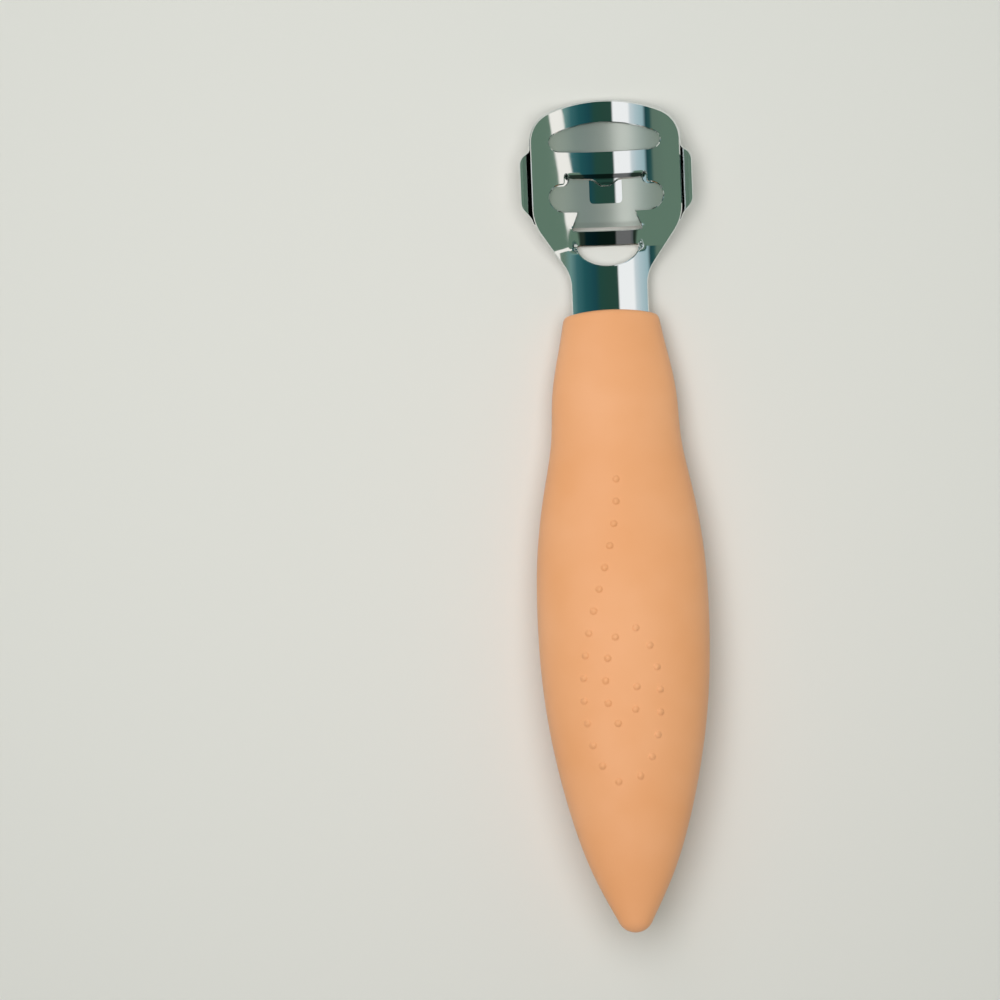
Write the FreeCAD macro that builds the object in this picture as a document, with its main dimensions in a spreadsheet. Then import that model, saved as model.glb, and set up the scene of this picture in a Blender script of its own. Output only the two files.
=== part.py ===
# Callus shaver: an arched sheet-metal head with an arched blade under it, on a moulded grip.
# It lies on its skin side as it would on a table: head towards +Y, window side up (+Z).
# All lengths are in millimetres and all angles in degrees.
import FreeCAD, Part
import math
import os
import Sketcher
from FreeCAD import Placement, Rotation, Vector

os.makedirs("parts", exist_ok=True)
doc = FreeCAD.newDocument("callus_shaver")


# Driving dimensions. Places along the head are counted from the top edge of the frame.
SIZES = {
    # Stack of sheets
    "skin_radius": 22.0,  # radius of the arched skin side of the guard plate
    "guard_thickness": 0.8,  # sheet of the guard plate
    "blade_gap": 0.1,  # play above and below the blade
    "blade_thickness": 0.3,  # strip steel of the blade
    "frame_thickness": 0.9,  # sheet of the frame
    # Outline of the frame
    "head_width": 30.2,  # frame across the windows
    "top_radius": 26.0,  # gentle arc along the top edge
    "corner_radius": 7.0,  # upper corners of the frame
    "shoulder_place": 22.6,  # where the sides start to turn in
    "shoulder_radius": 9.0,  # rounding under the straight sides
    "flank_angle": 35.0,  # slant of the flanks against the long axis
    "waist_radius": 8.0,  # hollow rounding from flank to neck
    "neck_width": 15.9,  # neck between head and grip
    "bend_place": 30.9,  # cross line where the head bends away from the neck
    "bend_radius": 14.0,  # radius of that bend
    "grip_place": 44.4,  # where the neck enters the grip
    "tang_width": 11.0,  # hidden tongue inside the grip
    "tang_shoulder": 3.0,  # full-width length inside the grip
    "tang_length": 38.0,  # tongue inside the grip
    "tang_hole": 5.0,  # hole that the plastic flows through
    # Windows, bar and lip of the frame
    "upper_window_width": 23.0,  # segment window
    "upper_window_top": 4.55,  # peak of its arc
    "upper_window_base": 10.45,  # its flat edge
    "upper_window_radius": 24.0,  # its arc
    "upper_window_end": 1.87,  # rounded ends
    "lobe_width": 23.5,  # main window across its round lobes
    "lobe_top": 15.1,  # upper edge of the lobes
    "lobe_radius": 3.9,  # round ends of the lobes
    "tail_top_width": 11.4,  # dovetail where it leaves the lobes
    "tail_base_width": 14.8,  # dovetail at the mouth
    "mouth_edge": 27.9,  # lower edge of the main window
    "bar_height": 2.2,  # pressed bar below the mouth, along the head
    "bar_drop": 1.0,  # how deep the bar is pressed towards the skin
    "bar_level_width": 11.6,  # bar at its full depth
    "bar_full_width": 15.4,  # bar with its ramps
    "throat_width": 12.6,  # flat edge of the D-shaped window
    "throat_height": 4.2,  # height of the D-shaped window
    "lip_width": 15.2,  # turned lip of the bridge
    "lip_height": 1.2,  # lip along the head
    "lip_thinning": 0.5,  # how far the lip turns down
    "nose_height": 2.6,  # nose that dips into the blade
    "nose_root_width": 5.2,  # nose where it leaves the lip
    "nose_tip_width": 2.0,  # end of the nose
    "nose_dip": 0.3,  # how far the nose reaches under the frame
    "nose_slope": 0.3,  # length over which its underside slopes down
    "nose_tip_rise": 0.1,  # upper side of its end above the underside of the frame
    # Blade
    "blade_width": 27.2,  # blade across the head, as a chord
    "blade_top": 3.3,  # hidden upper edge of the blade
    "blade_edge": 27.2,  # cutting edge
    "blade_bevel": 1.1,  # ground bevel behind the cutting edge
    "blade_edge_thickness": 0.03,  # steel left at the cutting edge
    "blade_corner": 3.4,  # rounded upper corners
    "blade_hole_width": 6.8,  # rectangular hole for the nose
    "blade_hole_top": 14.6,  # hidden upper edge of that hole
    "blade_hole_base": 21.3,  # its lower edge
    "blade_hole_corner": 0.6,  # its corners
    "slot_length": 5.7,  # side slots across the head
    "slot_rim": 0.4,  # steel left beside them at the ends of the blade
    "slot_top": 13.7,  # upper edge of the side slots
    "slot_base": 17.6,  # lower edge of the side slots
    "slot_corner": 1.3,  # rounded ends of the side slots
    # Guard plate and its ears
    "guard_overhang": 0.35,  # guard plate beyond the frame at the top and upper corners
    "guard_end": 26.7,  # lower edge of the guard plate, just behind the cutting edge
    "guard_taper": 0.8,  # how far the plate narrows from the ears to that edge
    "ear_reach": 17.8,  # outer rim of the ears, from the middle
    "ear_top": 10.6,  # upper root of the ears
    "ear_base": 24.3,  # lower root of the ears
    "ear_slant": 1.9,  # cut-off corners of the ears
    "weld_width": 15.0,  # welded strip at the top, across the head
    "weld_top": 0.9,  # upper edge of the welded strip
    "weld_base": 2.9,  # lower edge of the welded strip
    # Grip
    "socket_play": 0.04,  # between tang and grip
    "socket_end_play": 0.5,  # beyond the end and the shoulder of the tang
    "grip_length": 127.4,  # moulded grip
    "front_rounding": 1.1,  # front rim of the grip
    "tip_radius": 3.8,  # rounded tail in plan
    "tip_thickness": 5.6,  # rounded tail from the side
    "tip_taper": 21.0,  # half angle of the tail in plan
    "belly_rounding": 0.6,  # how much lower the tilted belly reaches than its thickest place
    "tang_level": 3.2,  # middle of the grip above the underside of the neck sheet
    # Grip dots
    "dot_diameter": 1.5,  # raised grip dots
    "dot_height": 0.45,  # how far they stand out
    "dot_rim": 0.12,  # straight rim of a dot below its dome
    "dot_root": 1.2,  # how deep a dot is rooted in the grip
    "dot_pitch": 4.55,  # from dot to dot along the swirl
    "swirl_middle": 78.5,  # middle of the swirl behind the front of the grip
    "swirl_aside": 1.0,  # middle of the swirl to the left of the grip's middle
    "swirl_width": 15.8,  # outer turn of the swirl, across
    "swirl_length": 37.2,  # outer turn of the swirl, along
    "swirl_core": 0.36,  # inner turn as a share of the outer one
    "swirl_turn": 550,  # degrees through which the swirl winds inwards
    "swirl_step_in": 265,  # degrees after which it is half way in
    "lead_length": 43.2,  # row that leads into the swirl
    "lead_swing": 8.3,  # how far that row swings sideways
    # Stations of the grip: place behind its front, width and thickness there
    "front_place": 0.0,
    "front_width": 19.6,
    "front_thickness": 10.2,
    "collar_place": 8.0,
    "collar_width": 22.5,
    "collar_thickness": 11.8,
    "neckdown_place": 17.0,
    "neckdown_width": 25.6,
    "neckdown_thickness": 13.4,
    "waist_place": 26.0,
    "waist_width": 26.7,
    "waist_thickness": 14.9,
    "rise_place": 37.0,
    "rise_width": 30.6,
    "rise_thickness": 16.9,
    "palm_place": 50.0,
    "palm_width": 34.3,
    "palm_thickness": 19.3,
    "belly_place": 64.0,
    "belly_width": 35.2,
    "belly_thickness": 20.7,
    "heel_place": 78.0,
    "heel_width": 33.9,
    "heel_thickness": 20.2,
    "fall_place": 92.0,
    "fall_width": 29.9,
    "fall_thickness": 18.0,
    "tail_place": 105.0,
    "tail_width": 23.7,
    "tail_thickness": 14.3,
    "end_place": 116.0,
    "end_width": 16.0,
    "end_thickness": 9.9,
}
GRIP_STATIONS = (
    "front", "collar", "neckdown", "waist", "rise", "palm",
    "belly", "heel", "fall", "tail", "end",
)

sheet = doc.addObject("Spreadsheet::Sheet", "Sizes")
for row, (alias, length) in enumerate(SIZES.items(), start=1):
    sheet.set(f"A{row}", alias)
    sheet.set(f"B{row}", str(length))
    sheet.setAlias(f"B{row}", alias)
doc.recompute()


# The stack of sheets: radii about the arch's axis, which lies skin_radius above the floor.
GUARD_OUT = "Sizes.skin_radius"
GUARD_IN = "(Sizes.skin_radius - Sizes.guard_thickness)"
BLADE_OUT = "(Sizes.skin_radius - Sizes.guard_thickness - Sizes.blade_gap)"
BLADE_IN = "(Sizes.skin_radius - Sizes.guard_thickness - Sizes.blade_gap - Sizes.blade_thickness)"
FRAME_OUT = (
    "(Sizes.skin_radius - Sizes.guard_thickness - 2 * Sizes.blade_gap - Sizes.blade_thickness)"
)
FRAME_IN = f"({FRAME_OUT} - Sizes.frame_thickness)"
FRAME_LEVEL = f"(Sizes.skin_radius - {FRAME_OUT})"

# The neck rises so far that the belly of the grip touches the floor when the head does.
GRIP_START = "(Sizes.grip_place - Sizes.bend_place)"
REST_ANGLE = (
    "asin((Sizes.belly_thickness / 2 + Sizes.belly_rounding - Sizes.tang_level"
    f" - {FRAME_LEVEL}) / (Sizes.belly_place + {GRIP_START}))"
)
OVERALL = (
    "(Sizes.guard_overhang + Sizes.bend_place"
    f" + ({GRIP_START} + Sizes.grip_length) * cos({REST_ANGLE})"
    f" - Sizes.tang_level * sin({REST_ANGLE}))"
)
TOP_EDGE = f"({OVERALL} / 2 - Sizes.guard_overhang)"

# Allowances of the drawing. None of them shows on the finished pieces.
SAME_POINT = 1e-6  # points this close are one
SPARE = 1  # cutting outlines run this far past what they cut
SWEEP_SPARE = 5  # the sheet is swept this far past the end of the tang, and then blanked
BLANK_SPARE = 1.06  # width of the swept sheet as a share of the head's
SURROUND = 1.5  # size of the cutting rectangle as a share of the tool's
AXIS_HALF = 5  # half the drawn length of a turning axis
LAP = 0.2  # how far a turned form reaches into the sheet, and a bevel cut above it


def value(expression):
    """Work out an expression of the sheet's cells as a plain number."""
    result = sheet.evalExpression(expression)
    return float(getattr(result, "Value", result))


def origin_plane(body, role):
    """The origin plane or axis of a body, by its role."""
    return next(item for item in body.Origin.OriginFeatures if item.Role == role)


def new_sketch(body, name, role, offset=None):
    """A sketch on one of the body's origin planes, moved off it along its normal if need be."""
    sketch = body.newObject("Sketcher::SketchObject", name)
    sketch.AttachmentSupport = (origin_plane(body, role), [""])
    sketch.MapMode = "FlatFace"
    if offset:
        sketch.setExpression(".AttachmentOffset.Base.z", offset)
    return sketch


def pin(sketch, geometry, position, across, along):
    """Tie one point of a sketch to two expressions."""
    for kind, expression in (("DistanceX", across), ("DistanceY", along)):
        index = sketch.addConstraint(
            Sketcher.Constraint(kind, -1, 1, geometry, position, value(expression))
        )
        sketch.setExpression(f"Constraints[{index}]", expression)


def arc_between(start, end, radius):
    """An arc that bulges to the right of the way to the end, or to the left if the radius is
    negative."""
    chord = end - start
    half = chord.Length / 2
    rise = math.sqrt(max(radius * radius - half * half, 0.0))
    left = Vector(-chord.y, chord.x, 0).normalize() * math.copysign(1, radius)
    centre = start + chord * 0.5 + left * rise
    return Part.Arc(start, centre - left * abs(radius), end)


def draw_loop(sketch, corners):
    """Draw a closed outline. A corner is (across, along), or (across, along, radius) where an
    arc starts there, all of them expressions; a minus before the radius turns the arc over."""
    points = [Vector(value(corner[0]), value(corner[1]), 0) for corner in corners]
    ends = []
    for index, corner in enumerate(corners):
        start = points[index]
        finish = points[(index + 1) % len(points)]
        if len(corner) == 3:
            geometry = sketch.addGeometry(arc_between(start, finish, value(corner[2])))
            radius = corner[2].lstrip("-")
            index = sketch.addConstraint(Sketcher.Constraint("Radius", geometry, value(radius)))
            sketch.setExpression(f"Constraints[{index}]", radius)
        else:
            geometry = sketch.addGeometry(Part.LineSegment(start, finish))
        first = 1 if sketch.getPoint(geometry, 1).distanceToPoint(start) < SAME_POINT else 2
        ends.append((geometry, first, 3 - first))
    for index, (geometry, first, last) in enumerate(ends):
        following = ends[(index + 1) % len(ends)]
        sketch.addConstraint(
            Sketcher.Constraint("Coincident", geometry, last, following[0], following[1])
        )
        pin(sketch, geometry, first, corners[index][0], corners[index][1])


def mirrored(corners, *crown):
    """Close a right-hand outline, listed clockwise, with its mirror image. The crown is the
    radius of the arc across the top, if there is one."""
    left = []
    for index in range(len(corners) - 1, -1, -1):
        across, along = corners[index][:2]
        before = corners[index - 1][2:] if index else crown
        left.append((f"(-{across})", along, *before))
    return list(corners) + left


def arched(across, radius):
    """Height of the arch of a given radius at a distance from the middle."""
    return f"(Sizes.skin_radius - sqrt({radius} ^ 2 - ({across}) ^ 2))"


def arch_section(across, outer, inner):
    """Section of an arched sheet, as wide as a chord at its outer face."""
    lean = f"({across}) / {outer}"
    return [
        (f"({across})", arched(across, outer), f"-{outer}"),
        (f"(-({across}))", arched(across, outer)),
        (f"(-({lean}) * {inner})", arched(f"{lean} * {inner}", inner), inner),
        (f"({lean} * {inner})", arched(f"{lean} * {inner}", inner)),
    ]


def pad(body, name, sketch, length):
    """Extrude a section along the head, away from its top edge."""
    feature = body.newObject("PartDesign::Pad", name)
    feature.Profile = sketch
    feature.setExpression("Length", length)
    return feature


def cut_through(body, name, corners, loops=()):
    """Cut an outline, seen from above, through the whole sheet."""
    sketch = new_sketch(body, f"{name}_outline", "XY_Plane")
    draw_loop(sketch, corners)
    for loop in loops:
        draw_loop(sketch, loop)
    feature = body.newObject("PartDesign::Pocket", name)
    feature.Profile = sketch
    feature.Type = "ThroughAll"
    feature.Midplane = True
    return feature


def surrounding():
    """A rectangle well outside the tool, so that a cut keeps only what lies in its inner loop."""
    side = f"(Sizes.head_width * {SURROUND})"
    far = f"(-({OVERALL} * {SURROUND}))"
    return [(f"(-{side})", side), (side, side), (side, far), (f"(-{side})", far)]


def turned(body, name, profile, chord, radius, subtractive=False):
    """Turn a profile about the axis of the arch, over the angle of a chord at a radius."""
    sketch = new_sketch(body, f"{name}_profile", "YZ_Plane")
    draw_loop(sketch, profile)
    centre = value(GUARD_OUT)
    line = Part.LineSegment(Vector(-AXIS_HALF, centre, 0), Vector(AXIS_HALF, centre, 0))
    axis = sketch.addGeometry(line, True)
    pin(sketch, axis, 1, f"-{AXIS_HALF}", GUARD_OUT)
    pin(sketch, axis, 2, f"{AXIS_HALF}", GUARD_OUT)
    kind = "PartDesign::Groove" if subtractive else "PartDesign::Revolution"
    feature = body.newObject(kind, name)
    feature.Profile = sketch
    feature.ReferenceAxis = (sketch, ["Axis0"])
    feature.Midplane = True
    feature.setExpression("Angle", f"2 * asin({chord} / 2 / {radius})")
    return feature


def place_on_table(item):
    """Shift a piece so that the origin is under the middle of the whole tool."""
    item.setExpression("Placement.Base.y", TOP_EDGE)


# Frame: one pressed and chromed sheet from the top of the head to the end of the hidden tang.
def frame_outline():
    """Right half of the frame as seen from above, from the top arc down to the tang."""
    inner = "(Sizes.top_radius - Sizes.corner_radius)"
    aside = "(Sizes.head_width / 2 - Sizes.corner_radius)"
    down = f"sqrt({inner} ^ 2 - {aside} ^ 2)"
    grow = f"(Sizes.top_radius / {inner})"
    shoulder_middle = "(Sizes.head_width / 2 - Sizes.shoulder_radius)"
    flank_start_x = f"({shoulder_middle} + Sizes.shoulder_radius * cos(Sizes.flank_angle))"
    flank_start_v = "(Sizes.shoulder_place + Sizes.shoulder_radius * sin(Sizes.flank_angle))"
    waist_side = "(Sizes.neck_width / 2)"
    flank_end_x = f"({waist_side} + Sizes.waist_radius * (1 - cos(Sizes.flank_angle)))"
    flank_end_v = f"({flank_start_v} + ({flank_start_x} - {flank_end_x}) / tan(Sizes.flank_angle))"
    waist_v = f"({flank_end_v} + Sizes.waist_radius * sin(Sizes.flank_angle))"
    tang_step = "(Sizes.grip_place + Sizes.tang_shoulder)"
    tang_side = "(Sizes.tang_width / 2)"
    taper_end = f"({tang_step} + {waist_side} - {tang_side})"
    round_start = f"(Sizes.grip_place + Sizes.tang_length - {tang_side})"
    return [
        (f"({grow} * {aside})", f"(-(Sizes.top_radius - {grow} * {down}))", "-Sizes.corner_radius"),
        ("(Sizes.head_width / 2)", f"(-(Sizes.top_radius - {down}))"),
        ("(Sizes.head_width / 2)", "(-Sizes.shoulder_place)", "-Sizes.shoulder_radius"),
        (flank_start_x, f"(-{flank_start_v})"),
        (flank_end_x, f"(-{flank_end_v})", "Sizes.waist_radius"),
        (waist_side, f"(-{waist_v})"),
        (waist_side, f"(-{tang_step})"),
        (tang_side, f"(-{taper_end})"),
        (tang_side, f"(-{round_start})", f"-({tang_side} * 1.2)"),
    ]


def bent_spine(sketch, end):
    """The line that the sheet follows: level in the head, rising from the bend to an end."""
    reach = f"(Sizes.bend_radius * tan({REST_ANGLE} / 2))"
    bend_start = f"(-(Sizes.bend_place - {reach}))"
    bend_end = f"(-(Sizes.bend_place + {reach} * cos({REST_ANGLE})))"
    rise = f"({FRAME_LEVEL} + {reach} * sin({REST_ANGLE}))"
    far = f"(-(Sizes.bend_place + ({end} - Sizes.bend_place) * cos({REST_ANGLE})))"
    far_rise = f"({FRAME_LEVEL} + ({end} - Sizes.bend_place) * sin({REST_ANGLE}))"
    stops = [("0", FRAME_LEVEL), (bend_start, FRAME_LEVEL), (bend_end, rise), (far, far_rise)]
    points = [Vector(value(along), value(up), 0) for along, up in stops]
    level = sketch.addGeometry(Part.LineSegment(points[0], points[1]))
    bend = sketch.addGeometry(arc_between(points[1], points[2], -value("Sizes.bend_radius")))
    neck = sketch.addGeometry(Part.LineSegment(points[2], points[3]))
    near = 1 if sketch.getPoint(bend, 1).distanceToPoint(points[1]) < SAME_POINT else 2
    radius = sketch.addConstraint(
        Sketcher.Constraint("Radius", bend, value("Sizes.bend_radius"))
    )
    sketch.setExpression(f"Constraints[{radius}]", "Sizes.bend_radius")
    sketch.addConstraint(Sketcher.Constraint("Coincident", level, 2, bend, near))
    sketch.addConstraint(Sketcher.Constraint("Coincident", neck, 1, bend, 3 - near))
    for geometry, position, stop in ((level, 1, 0), (level, 2, 1), (neck, 1, 2), (neck, 2, 3)):
        pin(sketch, geometry, position, *stops[stop])


def make_frame():
    """The arched sheet, cut to its outline, with three windows, a turned lip and a bar."""
    body = doc.addObject("PartDesign::Body", "head_frame")
    section = new_sketch(body, "frame_section", "XZ_Plane")
    draw_loop(section, arch_section(f"Sizes.head_width / 2 * {BLANK_SPARE}", FRAME_OUT, FRAME_IN))
    spine = new_sketch(body, "frame_spine", "YZ_Plane")
    bent_spine(spine, f"(Sizes.grip_place + Sizes.tang_length + {SWEEP_SPARE})")
    sweep = body.newObject("PartDesign::AdditivePipe", "pressed_sheet")
    sweep.Profile = section
    sweep.Spine = spine
    doc.recompute()

    cut_through(body, "blanked_edge", surrounding(), [mirrored(frame_outline(), "-Sizes.top_radius")])

    arc_middle = "(Sizes.upper_window_top + Sizes.upper_window_radius)"
    end_middle_v = "(Sizes.upper_window_base - Sizes.upper_window_end)"
    end_middle_x = "(Sizes.upper_window_width / 2 - Sizes.upper_window_end)"
    end_top_x = f"({end_middle_x} * 1.045)"
    end_top_v = f"({arc_middle} - sqrt(Sizes.upper_window_radius ^ 2 - {end_top_x} ^ 2))"
    cut_through(body, "upper_window", mirrored([
        (end_top_x, f"(-{end_top_v})", "-(Sizes.upper_window_end * 1.25)"),
        ("(Sizes.upper_window_width / 2)", f"(-{end_middle_v})", "-Sizes.upper_window_end"),
        (end_middle_x, "(-Sizes.upper_window_base)"),
    ], "-Sizes.upper_window_radius"))

    lobe_end = "(Sizes.lobe_width / 2)"
    lobe_middle = "(Sizes.lobe_width / 2 - Sizes.lobe_radius)"
    cut_through(body, "main_window", mirrored([
        (lobe_middle, "(-Sizes.lobe_top)", "-Sizes.lobe_radius"),
        (lobe_end, "(-(Sizes.lobe_top + Sizes.lobe_radius))", "-Sizes.lobe_radius"),
        (lobe_middle, "(-(Sizes.lobe_top + 2 * Sizes.lobe_radius))"),
        ("(Sizes.tail_top_width / 2)", "(-(Sizes.lobe_top + 2 * Sizes.lobe_radius))"),
        ("(Sizes.tail_base_width / 2)", "(-Sizes.mouth_edge)"),
    ]))

    bar_side = "(Sizes.bar_full_width / 2)"
    bar_base = "(-(Sizes.mouth_edge + Sizes.bar_height))"
    throat_side = "(Sizes.throat_width / 2)"
    throat_low = "(-(Sizes.mouth_edge + Sizes.bar_height + Sizes.throat_height))"
    throat_arc = (
        f"(({throat_side} ^ 2 + Sizes.throat_height ^ 2) / (2 * Sizes.throat_height))"
    )
    cut_through(body, "bar_slot", mirrored([
        (bar_side, "(-Sizes.mouth_edge)"),
        (bar_side, bar_base),
    ]))
    cut_through(body, "throat_window", mirrored([
        (throat_side, bar_base, f"-{throat_arc}"),
        ("0.01", throat_low),
    ]))

    bar = new_sketch(body, "bar_section", "XZ_Plane", "Sizes.mouth_edge")
    flat = "(Sizes.bar_level_width / 2)"
    low_out = f"({FRAME_OUT} + Sizes.bar_drop)"
    low_in = f"({FRAME_IN} + Sizes.bar_drop)"
    draw_loop(bar, [
        (bar_side, arched(bar_side, FRAME_OUT)),
        (flat, arched(flat, low_out), f"-{low_out}"),
        (f"(-{flat})", arched(flat, low_out)),
        (f"(-{bar_side})", arched(bar_side, FRAME_OUT)),
        (f"(-{bar_side})", arched(bar_side, FRAME_IN)),
        (f"(-{flat})", arched(flat, low_in), low_in),
        (flat, arched(flat, low_in)),
        (bar_side, arched(bar_side, FRAME_IN)),
    ])
    pad(body, "pressed_bar", bar, "Sizes.bar_height")

    lip_edge = "(-(Sizes.lobe_top + Sizes.lip_height))"
    nose_edge = "(-(Sizes.lobe_top + Sizes.nose_height))"
    sheet_top = f"(Sizes.skin_radius - {FRAME_IN})"
    turned(body, "turned_lip", [
        (f"(-(Sizes.lobe_top - {LAP}))", FRAME_LEVEL),
        (f"(-(Sizes.lobe_top - {LAP}))", sheet_top),
        ("(-Sizes.lobe_top)", sheet_top),
        (lip_edge, f"({sheet_top} - Sizes.lip_thinning)"),
        (lip_edge, FRAME_LEVEL),
    ], "Sizes.lip_width", FRAME_OUT)
    turned(body, "nose", [
        (lip_edge, f"({sheet_top} - Sizes.lip_thinning)"),
        (nose_edge, f"({FRAME_LEVEL} + Sizes.nose_tip_rise)"),
        (nose_edge, f"({FRAME_LEVEL} - Sizes.nose_dip)"),
        (f"({lip_edge} - Sizes.nose_slope)", f"({FRAME_LEVEL} - Sizes.nose_dip)"),
        (lip_edge, FRAME_LEVEL),
    ], "Sizes.nose_root_width", FRAME_OUT)
    root = "(Sizes.nose_root_width / 2)"
    tip = "(Sizes.nose_tip_width / 2)"
    nose_sides = new_sketch(body, "nose_sides_outline", "XY_Plane")
    for side in ("", "-"):
        corners = [
            (f"({side}({root} + {SPARE} / 2))", lip_edge),
            (f"({side}({root} + {SPARE} / 2))", f"({nose_edge} - {SPARE} / 2)"),
            (f"({side}{tip})", f"({nose_edge} - {SPARE} / 2)"),
            (f"({side}{tip})", nose_edge),
            (f"({side}{root})", lip_edge),
        ]
        draw_loop(nose_sides, corners)
    trim = body.newObject("PartDesign::Pocket", "nose_sides")
    trim.Profile = nose_sides
    trim.Type = "ThroughAll"
    trim.Midplane = True

    hole = new_sketch(body, "tang_hole_outline", "XY_Plane")
    hole_place = "(-(Sizes.grip_place + Sizes.tang_length / 2))"
    circle = Part.Circle(Vector(0, value(hole_place), 0), Vector(0, 0, 1), value("Sizes.tang_hole") / 2)
    ring = hole.addGeometry(circle)
    pin(hole, ring, 3, "0", hole_place)
    index = hole.addConstraint(Sketcher.Constraint("Radius", ring, value("Sizes.tang_hole / 2")))
    hole.setExpression(f"Constraints[{index}]", "Sizes.tang_hole / 2")
    anchor = body.newObject("PartDesign::Pocket", "tang_hole")
    anchor.Profile = hole
    anchor.Type = "ThroughAll"
    anchor.Midplane = True
    place_on_table(body)
    return body


# Blade: thin strip steel, sprung into the arch between frame and guard plate.
def make_blade():
    """Arched strip with one ground edge, a hole for the nose and two slots."""
    body = doc.addObject("PartDesign::Body", "blade")
    section = new_sketch(body, "blade_section", "XZ_Plane", "Sizes.blade_top")
    draw_loop(section, arch_section("Sizes.blade_width / 2", BLADE_OUT, BLADE_IN))
    pad(body, "strip", section, "(Sizes.blade_edge - Sizes.blade_top)")

    side = f"(Sizes.blade_width / 2 + {SPARE})"
    corner = "(Sizes.blade_width / 2 - Sizes.blade_corner)"
    outline = mirrored([
        (corner, "(-Sizes.blade_top)", "-Sizes.blade_corner"),
        ("(Sizes.blade_width / 2)", "(-(Sizes.blade_top + Sizes.blade_corner))"),
        (side, "(-(Sizes.blade_top + Sizes.blade_corner))"),
        (side, f"(-(Sizes.blade_edge + {SPARE}))"),
    ])
    cut_through(body, "rounded_corners", surrounding(), [outline])

    hole_side = "(Sizes.blade_hole_width / 2)"
    hole_in = f"({hole_side} - Sizes.blade_hole_corner)"
    cut_through(body, "nose_hole", mirrored([
        (hole_in, "(-Sizes.blade_hole_top)", "-Sizes.blade_hole_corner"),
        (hole_side, "(-(Sizes.blade_hole_top + Sizes.blade_hole_corner))"),
        (hole_side, "(-(Sizes.blade_hole_base - Sizes.blade_hole_corner))", "-Sizes.blade_hole_corner"),
        (hole_in, "(-Sizes.blade_hole_base)"),
    ]))
    slots = new_sketch(body, "side_slots_outline", "XY_Plane")
    high = "(Sizes.blade_width / 2 - Sizes.slot_rim)"
    low = f"({high} - Sizes.slot_length)"
    bend = "Sizes.slot_corner"
    for side in ("", "-"):
        round_corner = f"-{bend}" if not side else bend
        draw_loop(slots, [
            (f"({side}({low} + {bend}))", "(-Sizes.slot_top)"),
            (f"({side}({high} - {bend}))", "(-Sizes.slot_top)", round_corner),
            (f"({side}{high})", f"(-(Sizes.slot_top + {bend}))"),
            (f"({side}{high})", f"(-(Sizes.slot_base - {bend}))", round_corner),
            (f"({side}({high} - {bend}))", "(-Sizes.slot_base)"),
            (f"({side}({low} + {bend}))", "(-Sizes.slot_base)", round_corner),
            (f"({side}{low})", f"(-(Sizes.slot_base - {bend}))"),
            (f"({side}{low})", f"(-(Sizes.slot_top + {bend}))", round_corner),
        ])
    cut = body.newObject("PartDesign::Pocket", "side_slots")
    cut.Profile = slots
    cut.Type = "ThroughAll"
    cut.Midplane = True

    upper_face = f"(Sizes.skin_radius - {BLADE_IN})"
    under_face = f"(Sizes.skin_radius - {BLADE_OUT})"
    turned(body, "ground_bevel", [
        ("(-(Sizes.blade_edge - Sizes.blade_bevel))", f"({upper_face} + {LAP})"),
        ("(-(Sizes.blade_edge - Sizes.blade_bevel))", upper_face),
        ("(-Sizes.blade_edge)", f"({under_face} + Sizes.blade_edge_thickness)"),
        (f"(-(Sizes.blade_edge + {SPARE}))", f"({under_face} + Sizes.blade_edge_thickness)"),
        (f"(-(Sizes.blade_edge + {SPARE}))", f"({upper_face} + {LAP})"),
    ], f"(Sizes.blade_width + 3 * {SPARE})", BLADE_OUT, subtractive=True)
    place_on_table(body)
    return body


# Guard plate: the chromed skin side of the head, with an ear turned up at each end of the blade.
def make_guard():
    """Arched plate under the blade, joined to the frame by a raised strip at the top."""
    body = doc.addObject("PartDesign::Body", "guard_plate")
    section = new_sketch(body, "guard_section", "XZ_Plane", "(-Sizes.guard_overhang)")
    draw_loop(section, arch_section("Sizes.ear_reach", GUARD_OUT, GUARD_IN))
    pad(body, "arched_plate", section, "(Sizes.guard_end + Sizes.guard_overhang)")

    over = "Sizes.guard_overhang"
    top_radius = f"(Sizes.top_radius + {over})"
    corner_radius = f"(Sizes.corner_radius + {over})"
    inner = "(Sizes.top_radius - Sizes.corner_radius)"
    aside = "(Sizes.head_width / 2 - Sizes.corner_radius)"
    down = f"sqrt({inner} ^ 2 - {aside} ^ 2)"
    grow = f"({top_radius} / {inner})"
    side = f"(Sizes.head_width / 2 + {over})"
    ear = f"(Sizes.ear_reach + {SPARE})"
    slant = "(Sizes.ear_slant / (Sizes.ear_reach - Sizes.head_width / 2))"
    flare = f"({slant} * ({ear} - {side}))"
    outline = mirrored([
        (f"({grow} * {aside})", f"(-(Sizes.top_radius - {grow} * {down}))", f"-{corner_radius}"),
        (side, f"(-(Sizes.top_radius - {down}))"),
        (side, "(-Sizes.ear_top)"),
        (ear, f"(-(Sizes.ear_top + {flare}))"),
        (ear, f"(-(Sizes.ear_base - {flare}))"),
        (side, "(-Sizes.ear_base)"),
        (f"({side} - Sizes.guard_taper)", f"(-(Sizes.guard_end + {SPARE}))"),
    ], f"-{top_radius}")
    cut_through(body, "guard_edge", surrounding(), [outline])

    strip = new_sketch(body, "weld_section", "XZ_Plane", "Sizes.weld_top")
    draw_loop(strip, arch_section("Sizes.weld_width / 2", GUARD_IN, FRAME_OUT))
    pad(body, "welded_strip", strip, "(Sizes.weld_base - Sizes.weld_top)")
    place_on_table(body)
    return body


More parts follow.
